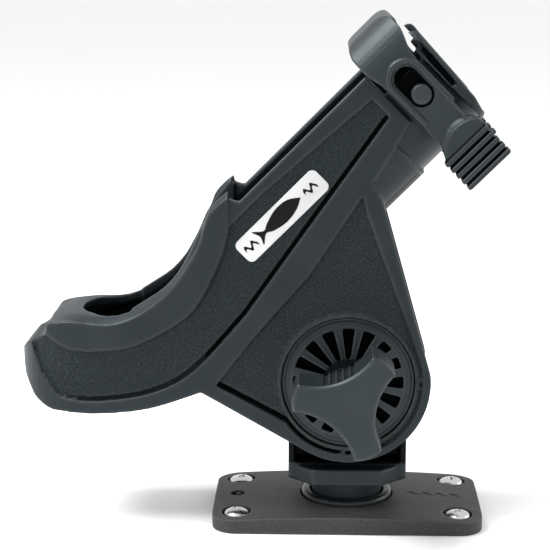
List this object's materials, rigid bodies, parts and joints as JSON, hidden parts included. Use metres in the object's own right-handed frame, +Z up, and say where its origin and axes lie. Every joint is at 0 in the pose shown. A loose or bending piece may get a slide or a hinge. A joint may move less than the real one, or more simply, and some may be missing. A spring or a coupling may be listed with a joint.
{
  "type": "rod holder",
  "caption": "Side-deck fishing rod holder: open channel cradle with locking ring, tilting on a knob clamp over a swivelling post and screwed-down base plate.",
  "frame": {"origin": "centre of the base plate's underside", "axes": "+Z up from the deck, +X towards the rod's tip, +Y to the side away from the clamp knob"},
  "size_m": [0.195, 0.0912, 0.2083],
  "materials": {
    "nylon": "satin moulded glass-filled nylon with sand-grained panels",
    "nylon_base": "fine grained moulded nylon",
    "nylon_gloss": "polished by turning",
    "steel": "plain stainless",
    "brass": "turned",
    "foil": "bright foil with a dark border"
  },
  "bodies": {
    "base": {"base_plate": "nylon_base", "mounting_screw_1": "steel", "mounting_screw_2": "steel", "mounting_screw_3": "steel", "mounting_screw_4": "steel"},
    "swivel": {"swivel_bush": "nylon_gloss"},
    "bracket": {"post_bracket": "nylon"},
    "holder": {"holder_body": "nylon", "rear_cradle": "nylon", "front_tube": "nylon", "tilt_bolt": "steel", "bolt_washer": "steel", "clamp_disc_left": "nylon", "clamp_disc_right": "nylon", "badge_left": "foil", "badge_right": "foil"},
    "ring_pins": {"pivot_pin_left": "nylon", "pivot_pin_right": "nylon"},
    "ring": {"locking_ring": "nylon"},
    "knob_slide": {"knob_washer": "nylon_gloss"},
    "knob": {"clamp_knob": "nylon", "knob_insert": "brass"}
  },
  "joints": [
    {"name": "post_swivel", "type": "hinge", "parent": "base", "child": "swivel", "pos_m": [0, 0, 0.005], "axis": [0, 0, 1], "continuous": true},
    {"name": "post_lift", "type": "slide", "parent": "swivel", "child": "bracket", "axis": [0, 0, 1], "range_m": [0, 0.03]},
    {"name": "holder_tilt", "type": "hinge", "parent": "bracket", "child": "holder", "pos_m": [0, 0, 0.0613], "axis": [0, -1, 0], "range_deg": [-45, 20]},
    {"name": "ring_swing", "type": "hinge", "parent": "holder", "child": "ring_pins", "pos_m": [0.02694, 0, 0.17719], "axis": [0, -1, 0], "range_deg": [-120, 0]},
    {"name": "ring_drop", "type": "slide", "parent": "ring_pins", "child": "ring", "axis": [0.7071, 0, -0.7071], "range_m": [0, 0.0083]},
    {"name": "knob_travel", "type": "slide", "parent": "holder", "child": "knob_slide", "axis": [0, -1, 0], "range_m": [0, 0.0032]},
    {"name": "knob_turn", "type": "hinge", "parent": "knob_slide", "child": "knob", "pos_m": [0, -0.045, 0.0613], "axis": [0, -1, 0], "range_deg": [0, 720]}
  ],
  "couplings": [
    {"joint": "knob_travel", "follows": "knob_turn", "m_per_rad": 0.00025266}
  ]
}
